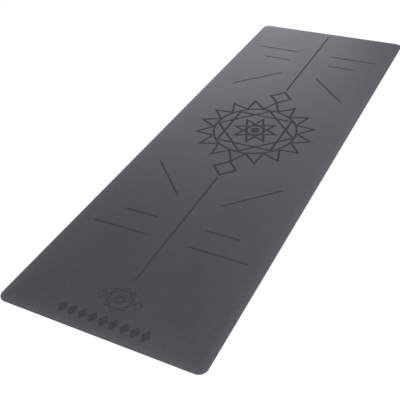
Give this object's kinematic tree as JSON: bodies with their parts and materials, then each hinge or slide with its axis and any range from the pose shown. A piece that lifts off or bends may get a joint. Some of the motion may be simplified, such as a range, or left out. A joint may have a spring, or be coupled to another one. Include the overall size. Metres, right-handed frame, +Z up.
{
  "type": "yoga mat",
  "caption": "Flat rectangular exercise mat with rounded corners: engraved polyurethane skin on a textile carrier, bonded to a foamed rubber base.",
  "frame": {"origin": "on the floor, under the middle of the mat's rectangle", "axes": "+Y along the mat towards the far end, away from the row of lozenges; +X to the right seen from that near end; +Z up out of the engraved skin"},
  "size_m": [0.61, 1.83, 0.004],
  "materials": {
    "polyurethane_skin": "fine-grained satin polyurethane, dark grey, with the engraved lines darker and matt",
    "textile": "thin close polyester knit, dark grey, seen only at the cut edge",
    "natural_rubber": "matt closed-cell natural rubber, charcoal, with an embossed grip on the underside"
  },
  "bodies": {
    "root": {"top_skin": "polyurethane_skin", "carrier_textile": "textile", "rubber_base": "natural_rubber"}
  },
  "joints": []
}
